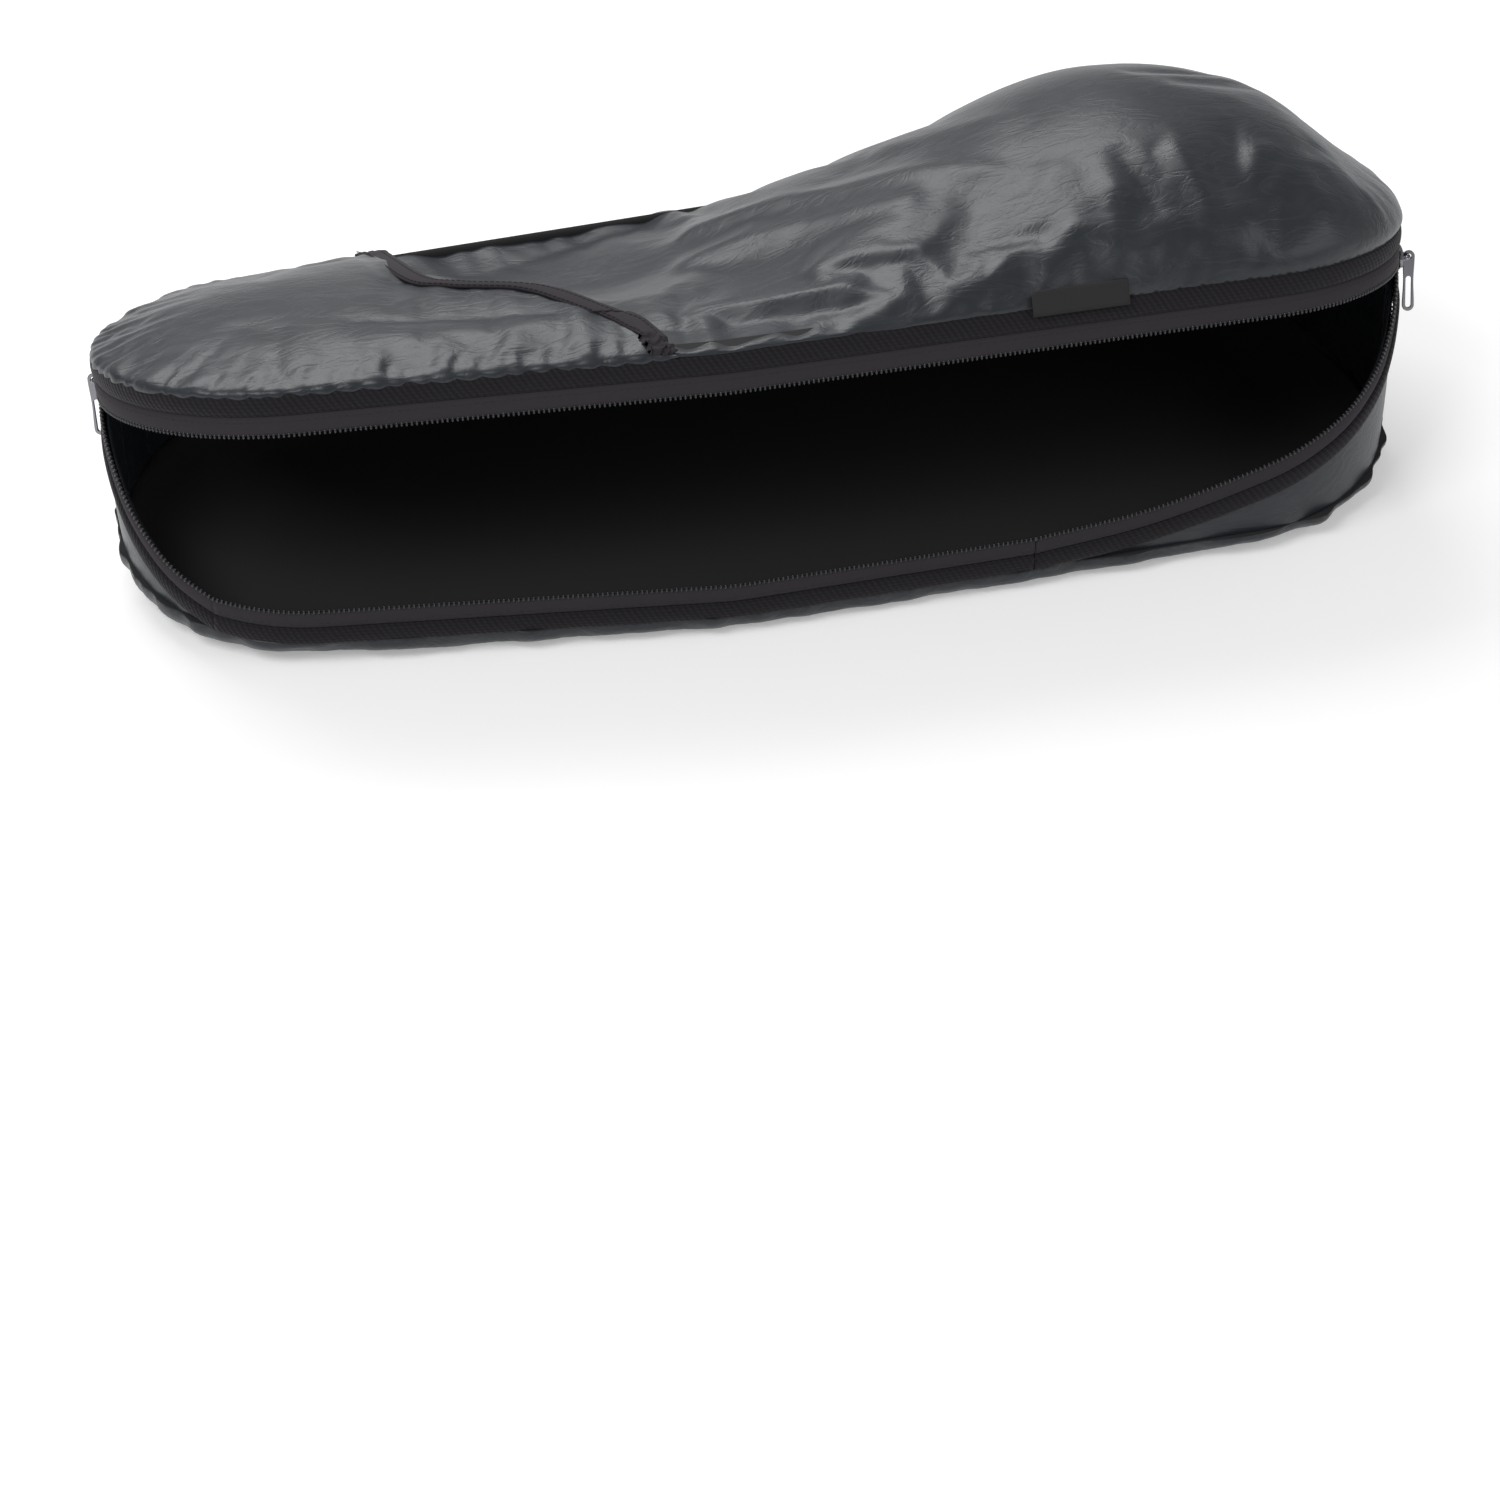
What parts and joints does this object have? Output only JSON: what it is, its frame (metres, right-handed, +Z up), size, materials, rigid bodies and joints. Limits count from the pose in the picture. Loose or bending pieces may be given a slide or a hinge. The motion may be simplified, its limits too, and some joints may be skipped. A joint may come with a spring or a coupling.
{
  "type": "zipped instrument bag",
  "caption": "Soft padded trumpet bag, zipped along one side and round both ends, lying on its back with its mouth open, slip pocket on the narrow end.",
  "frame": {"origin": "middle of the open bag's bounding box, at the floor it lies on", "axes": "+X from the narrow end to the wide end, +Y from the zipped mouth to the spine, +Z up"},
  "size_m": [0.5628, 0.2466, 0.1591],
  "materials": {
    "charcoal_nylon": "satin coated nylon, softly creased",
    "foam": "matt closed-cell foam",
    "plush_lining": "matt short-pile plush",
    "zip_coil": "semi-gloss nylon coil",
    "dark_metal": "dark nickel plated",
    "zip_tape": "smooth woven tape",
    "webbing": "ribbed woven binding",
    "woven_label": "fine woven tag, blank"
  },
  "bodies": {
    "back_half": {"back_shell": "charcoal_nylon", "back_foam": "foam", "back_lining": "plush_lining", "lower_band": "webbing", "lower_tape": "zip_tape", "lower_coil": "zip_coil", "lower_binding": "webbing", "end_web": "charcoal_nylon", "climb_tape_right": "zip_tape", "climb_coil_right": "zip_coil", "climb_tape_left": "zip_tape", "climb_coil_left": "zip_coil"},
    "front_half": {"front_shell": "charcoal_nylon", "front_foam": "foam", "front_lining": "plush_lining", "upper_band": "webbing", "upper_binding": "webbing", "upper_tape": "zip_tape", "upper_coil": "zip_coil", "closed_coil_right": "zip_coil", "closed_coil_left": "zip_coil", "rear_band": "webbing", "spine_strip": "webbing", "pocket_panel": "charcoal_nylon", "pocket_hem": "webbing", "side_label": "woven_label", "zip_stop_right": "dark_metal", "zip_stop_left": "dark_metal"},
    "slider_right": {"slider_body_right": "dark_metal", "slider_bridge_right": "dark_metal"},
    "pull_right": {"pull_right": "dark_metal"},
    "slider_left": {"slider_body_left": "dark_metal", "slider_bridge_left": "dark_metal"},
    "pull_left": {"pull_left": "dark_metal"}
  },
  "joints": [
    {"name": "mouth", "type": "hinge", "parent": "back_half", "child": "front_half", "pos_m": [-0.00266, 0.10959, 0.0349], "axis": [-1, 0, 0], "range_deg": [-20.5, 40], "deforming": ["end_web", "climb_tape_right", "climb_coil_right", "climb_tape_left", "climb_coil_left"]},
    {"name": "slider_right_travel", "type": "hinge", "parent": "front_half", "child": "slider_right", "pos_m": [0.19134, -0.02541, 0.08764], "axis": [0, 0.2554, 0.9668], "range_deg": [-45, 30], "deforming": ["climb_tape_right", "climb_coil_right"]},
    {"name": "pull_right_flip", "type": "hinge", "parent": "slider_right", "child": "pull_right", "pos_m": [0.27876, -0.04806, 0.09362], "axis": [-0.2588, -0.9339, 0.2467], "range_deg": [-4, 160]},
    {"name": "slider_left_travel", "type": "hinge", "parent": "front_half", "child": "slider_left", "pos_m": [-0.19466, -0.00994, 0.08355], "axis": [0, 0.2554, 0.9668], "range_deg": [-10, 70], "deforming": ["climb_tape_left", "climb_coil_left"]},
    {"name": "pull_left_flip", "type": "hinge", "parent": "slider_left", "child": "pull_left", "pos_m": [-0.27876, 0.01965, 0.07573], "axis": [0.342, 0.9085, -0.24], "range_deg": [-4, 160]}
  ]
}
